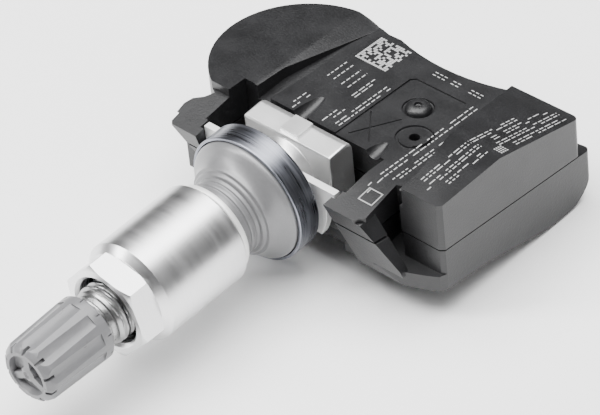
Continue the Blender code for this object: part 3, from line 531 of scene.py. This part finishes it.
def stem_radius(station, angle):
    """The threaded stem's surface: main thread, relief groove, then the tip thread."""
    if station < THREAD_END:
        fade = min(1.0, max(0.0, (THREAD_END - station) / (0.7 * MM)))
        depth = 0.46 * MM
        crest = STEM_RADIUS - 0.3 * MM * (1 - fade)
        return crest - depth * (1 - ridge_share(station / THREAD_PITCH - angle / math.tau)) * fade
    if station < TIP_START:
        return NECK_RADIUS
    rise = min(1.0, (station - TIP_START) / (0.35 * MM))
    taper = min(1.0, max(0.0, (TIP_THREAD_END - station) / (0.5 * MM)))
    crest = NECK_RADIUS + (TIP_RADIUS - NECK_RADIUS) * rise - 0.4 * MM * (1 - taper)
    share = ridge_share(station / TIP_PITCH - angle / math.tau)
    return crest - 0.33 * MM * (1 - share) * min(rise, taper)


def make_stem():
    """The cross head keeps its CAD shape; the threaded length gets real helical ridges."""
    _, end, _ = axial("valve_stem")
    beyond = new_object("stem_cut", box_mesh(
        "stem_cut", (-9 * MM, -end - 1 * MM, -9 * MM), (9 * MM, -STEM_JOIN, 9 * MM)))
    refined_copy("valve_stem", "cross_head", 0.12, [beyond], edge_angle=30)
    rings, sides, step = [], 64, 0.1 * MM
    builder = bmesh.new()
    count = round((end - STEM_JOIN) / step)
    for ring in range(count + 1):
        station = STEM_JOIN + (end - STEM_JOIN) * ring / count
        loop = []
        for side in range(sides):
            angle = math.tau * side / sides
            radius = stem_radius(station, angle)
            loop.append(builder.verts.new((
                radius * math.cos(angle), -station, radius * math.sin(angle))))
        rings.append(loop)
    skin(builder, rings)
    builder.faces.new(rings[0])
    builder.faces.new(rings[-1])
    bmesh.ops.recalc_face_normals(builder, faces=builder.faces)
    mesh = bpy.data.meshes.new("stem_thread")
    builder.to_mesh(mesh)
    builder.free()
    thread = new_object("stem_thread", mesh)
    bore = turned_mesh("stem_bore", [
        (0.0, 16.0 * MM), (1.4 * MM, 16.0 * MM), (1.4 * MM, 31.0 * MM), (2.2 * MM, 31.2 * MM),
        (2.2 * MM, 41.0 * MM), (2.75 * MM, 42.0 * MM), (2.75 * MM, 48.0 * MM), (0.0, 48.0 * MM)], 48)
    bore.transform(Matrix.Rotation(math.pi / 2, 4, "X"))
    cutter = new_object("stem_bore", bore)
    cut(thread, cutter)
    bake(thread, 40)
    discard([cutter])
    dress(thread, "valve_stem", finish="stem_steel")


MOUTH_FRONT = 36.1 * MM
MOUTH_REAR = 33.7 * MM
MOUTH_RADIUS = 4.86 * MM         # the nut's mouth between its ridges
LINER_RADIUS = 4.95 * MM         # the hidden outside of the ridged lining


def make_nut():
    """The CAD nut with eased edges, and ridges that line its mouth."""
    refined_copy("sleeve_nut", "hex_sleeve_nut", 0.09, edge_angle=25)
    builder = bmesh.new()
    sides, count = 72, 40
    inner_rings, outer_rings = [], []
    for ring in range(count + 1):
        station = MOUTH_REAR + (MOUTH_FRONT - MOUTH_REAR) * ring / count
        fade = min(1.0, ring / 4, (count - ring) / 4)
        inner, shell = [], []
        for side in range(sides):
            angle = math.tau * side / sides
            share = ridge_share(station / THREAD_PITCH - angle / math.tau)
            radius = MOUTH_RADIUS - 0.14 * MM * share * fade
            direction = (math.cos(angle), math.sin(angle))
            inner.append(builder.verts.new((radius * direction[0], -station, radius * direction[1])))
            shell.append(builder.verts.new((
                LINER_RADIUS * direction[0], -station, LINER_RADIUS * direction[1])))
        inner_rings.append(inner)
        outer_rings.append(shell)
    for rings in (inner_rings, outer_rings):
        skin(builder, rings)
    for end in (0, count):
        skin(builder, (inner_rings[end], outer_rings[end]))
    bmesh.ops.recalc_face_normals(builder, faces=builder.faces)
    mesh = bpy.data.meshes.new("nut_mouth_thread")
    builder.to_mesh(mesh)
    builder.free()
    # The mouth ridges take the dark steel: painted shade for the shadow inside the nut's mouth.
    dress(bake(new_object("nut_mouth_thread", mesh), 40), "sleeve_nut", finish="mouth_shade_steel")


def make_grommet():
    """Stepped rubber seal: two soft ledges on its cone and shallow grooves round its nose."""
    rear, nose, radius = axial("grommet")
    bore = 4.2 * MM
    steps = [
        (bore, rear), (radius, rear), (radius, nose - 6.15 * MM), (radius - 0.15 * MM, nose - 5.85 * MM),
        (8.25 * MM, nose - 5.55 * MM), (7.7 * MM, nose - 5.15 * MM), (7.2 * MM, nose - 4.7 * MM),
        (6.85 * MM, nose - 4.25 * MM), (6.62 * MM, nose - 3.85 * MM), (6.58 * MM, nose - 3.6 * MM),
        (6.5 * MM, nose - 3.5 * MM), (6.2 * MM, nose - 3.46 * MM), (6.1 * MM, nose - 3.4 * MM),
        (6.06 * MM, nose - 3.1 * MM), (5.9 * MM, nose - 2.95 * MM), (5.5 * MM, nose - 2.9 * MM)]
    for start in (2.45, 1.5):
        steps += [
            (5.5 * MM, nose - start * MM), (5.25 * MM, nose - (start - 0.1) * MM),
            (5.25 * MM, nose - (start - 0.3) * MM), (5.5 * MM, nose - (start - 0.4) * MM)]
    steps += [(5.5 * MM, nose - 0.2 * MM), (5.3 * MM, nose), (bore, nose)]
    mesh = turned_mesh("rim_grommet", steps)
    mesh.transform(Matrix.Rotation(math.pi / 2, 4, "X"))
    grommet = new_object("rim_grommet", mesh)
    rounding = grommet.modifiers.new("rounded_edges", "BEVEL")
    rounding.width = 0.05 * MM
    rounding.segments = 2
    rounding.limit_method = "ANGLE"
    rounding.angle_limit = math.radians(25)
    dress(bake(grommet, 50), "grommet")
    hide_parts("grommet")


def make_collar_and_washer():
    refined_copy("collar", "steel_collar", 0.06, edge_angle=30)
    refined_copy("slip_washer", "thrust_washer", 0.03, edge_angle=40)


def make_cap():
    """Dust cap with grips, notched rim and a three-armed web in its tip."""
    rear, front, _ = axial("valve_cap")
    grips = 10
    cutters = []
    dish = turned_mesh("cap_dish", [
        (0.0, front - 0.85 * MM), (2.6 * MM, front - 0.85 * MM), (3.0 * MM, front + 0.2 * MM),
        (0.0, front + 0.2 * MM)], 64)
    dish.transform(Matrix.Rotation(math.pi / 2, 4, "X"))
    cutters.append(new_object("cap_dish", dish))
    for index in range(grips):
        angle = math.tau * (index + 0.5) / grips
        notch = box_mesh(
            "cap_notch", (3.3 * MM, -front - 0.1 * MM, -0.24 * MM),
            (5.0 * MM, -front + 1.3 * MM, 0.24 * MM))
        notch.transform(Matrix.Rotation(angle, 4, "Y"))
        cutters.append(new_object("cap_notch", notch))
        slot = box_mesh(
            "cap_slot", (4.45 * MM, -rear - 0.75 * MM, -0.09 * MM),
            (5.0 * MM, -rear - 0.2 * MM, 0.09 * MM))
        slot.transform(Matrix.Rotation(angle, 4, "Y"))
        cutters.append(new_object("cap_slot", slot))
    refined_copy("valve_cap", "dust_cap", 0.2, cutters, steps=3, edge_angle=28)
    arms = []
    for index in range(3):
        arm = box_mesh(
            "cap_web", (0.0, -front + 0.3 * MM, -0.5 * MM), (2.9 * MM, -front + 1.1 * MM, 0.5 * MM))
        arm.transform(Matrix.Rotation(math.tau * index / 3 + 0.5, 4, "Y"))
        arms.append(new_object("cap_web_%d" % index, arm))
    hub = turned_mesh("cap_hub", [
        (0.0, front - 1.1 * MM), (1.25 * MM, front - 1.1 * MM), (1.05 * MM, front - 0.3 * MM),
        (0.6 * MM, front - 0.12 * MM), (0.3 * MM, front - 0.3 * MM), (0.0, front - 0.32 * MM)], 40)
    hub.transform(Matrix.Rotation(math.pi / 2, 4, "X"))
    web = new_object("cap_web", hub)
    for arm in arms:
        cut(web, arm, "UNION")
    rounding = web.modifiers.new("rounded_edges", "BEVEL")
    rounding.width = 0.1 * MM
    rounding.segments = 2
    rounding.limit_method = "ANGLE"
    rounding.angle_limit = math.radians(40)
    bake(web)
    discard(arms)
    dress(web, "valve_cap")


def dress_kept_nodes():
    """Inner pieces keep their CAD solids and get the same kind of material."""
    for node, obj in frame["nodes"].items():
        obj.data.materials.clear()
        obj.data.materials.append(FINISH[SLOT_OF[node]])


# ---- stage --------------------------------------------------------------------------------
def area_light(name, place, target, size, power, size_y=None):
    data = bpy.data.lights.new(name, "AREA")
    data.shape = "RECTANGLE"
    data.size = size
    data.size_y = size_y or size
    data.energy = power
    light = bpy.data.objects.new(name, data)
    bpy.context.collection.objects.link(light)
    direction = Vector(target) - Vector(place)
    light.location = place
    light.rotation_euler = direction.to_track_quat("-Z", "Y").to_euler()


def make_stage(right, back):
    bottom = CAD_BOX[0].z - 0.3 * MM
    mesh = bpy.data.meshes.new("floor")
    builder = bmesh.new()
    bmesh.ops.create_grid(builder, x_segments=2, y_segments=2, size=3.0)
    builder.transform(Matrix.Translation((0, 0, bottom)))
    builder.to_mesh(mesh)
    builder.free()
    floor = new_object("floor", mesh)
    floor.data.materials.append(finish_material(
        "pale_floor", (0.97, 0.97, 0.97), 0.9, spread=0.01, grain=400.0, relief=0.0, broad=20.0))
    world = bpy.data.worlds.new("studio")
    world.use_nodes = True
    background = world.node_tree.nodes["Background"]
    background.inputs["Strength"].default_value = 1.0
    tree = world.node_tree
    split = tree.nodes.new("ShaderNodeSeparateXYZ")
    tree.links.new(tree.nodes.new("ShaderNodeTexCoord").outputs["Generated"], split.inputs["Vector"])
    sky = tree.nodes.new("ShaderNodeValToRGB")
    sky.color_ramp.elements[0].position = 0.0
    sky.color_ramp.elements[0].color = (0.2, 0.2, 0.2, 1.0)
    sky.color_ramp.elements[1].position = 0.95
    sky.color_ramp.elements[1].color = (0.95, 0.95, 0.95, 1.0)
    middle = sky.color_ramp.elements.new(0.72)
    middle.color = (0.34, 0.34, 0.34, 1.0)
    tree.links.new(split.outputs["Z"], sky.inputs["Fac"])
    tree.links.new(sky.outputs["Color"], background.inputs["Color"])
    centre = Vector((0.0, -0.01, 0.0))
    above = Vector((0, 0, 1))
    area_light("overhead", above * 0.7 - back * 0.05, centre, 0.8, 18.0)
    area_light("key", -right * 0.4 + back * 0.02 + above * 0.34, centre, 0.12, 3.2, 0.5)
    area_light("fill", back * 0.42 + right * 0.35 + above * 0.05, centre, 0.08, 0.7, 0.4)


RIGHT, BACK = make_camera()
make_housing()
make_boss()
make_marks()
make_stem()
make_nut()
make_grommet()
make_collar_and_washer()
make_cap()
dress_kept_nodes()
make_stage(RIGHT, BACK)
